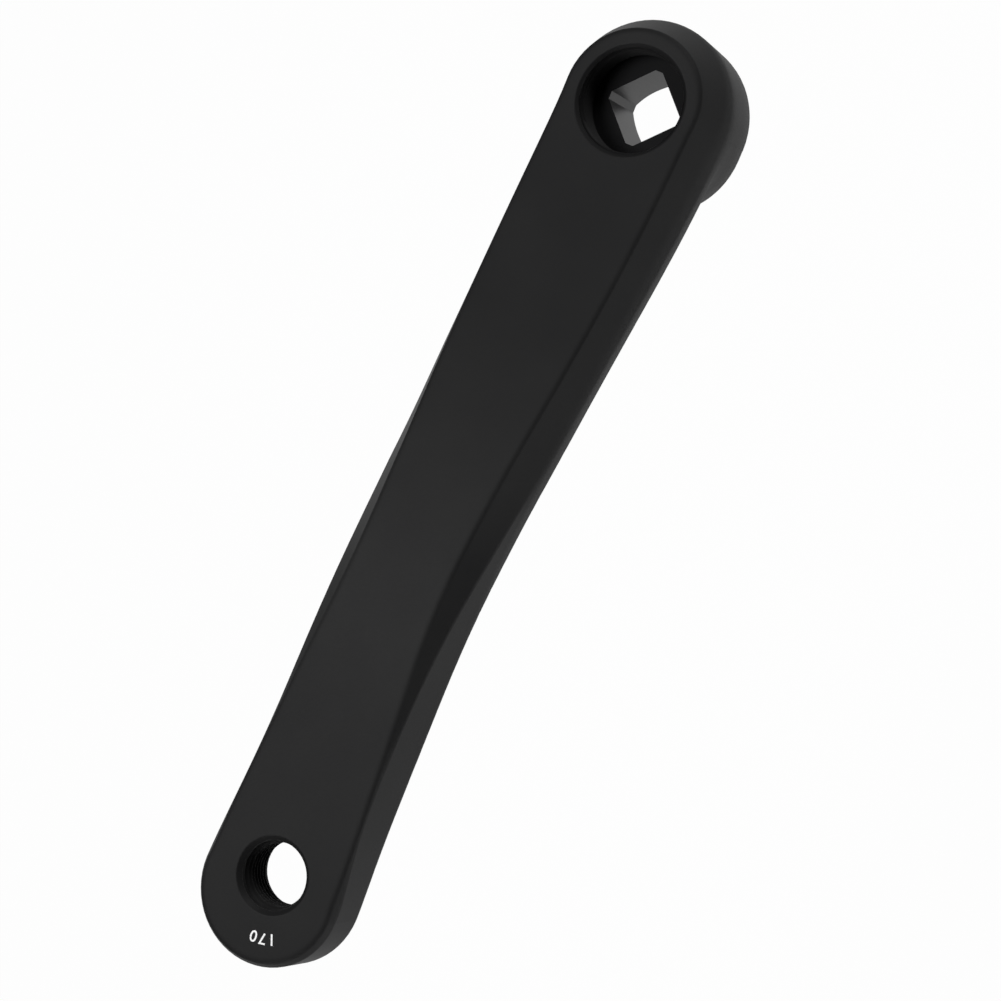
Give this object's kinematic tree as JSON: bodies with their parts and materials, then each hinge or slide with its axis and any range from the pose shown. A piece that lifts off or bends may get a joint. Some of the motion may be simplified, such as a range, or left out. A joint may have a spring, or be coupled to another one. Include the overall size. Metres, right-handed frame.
{
  "type": "bicycle crank arm",
  "caption": "Forged left-hand bicycle crank arm with a square taper socket and threaded extractor recess at one end, a dished bevelled arm and a threaded pedal eye at the other.",
  "frame": {"origin": "on the spindle axis, in the plane of the boss's inner face, at the mouth of the square taper socket", "axes": "+Z along the spindle axis, outwards, away from the bicycle; +X along the arm to the pedal axis; +Y across the arm"},
  "size_m": [0.2074, 0.0368, 0.0475],
  "materials": {
    "black_coat": "satin black coat over forged aluminium"
  },
  "bodies": {
    "root": {"crank_arm": "black_coat"}
  },
  "joints": []
}
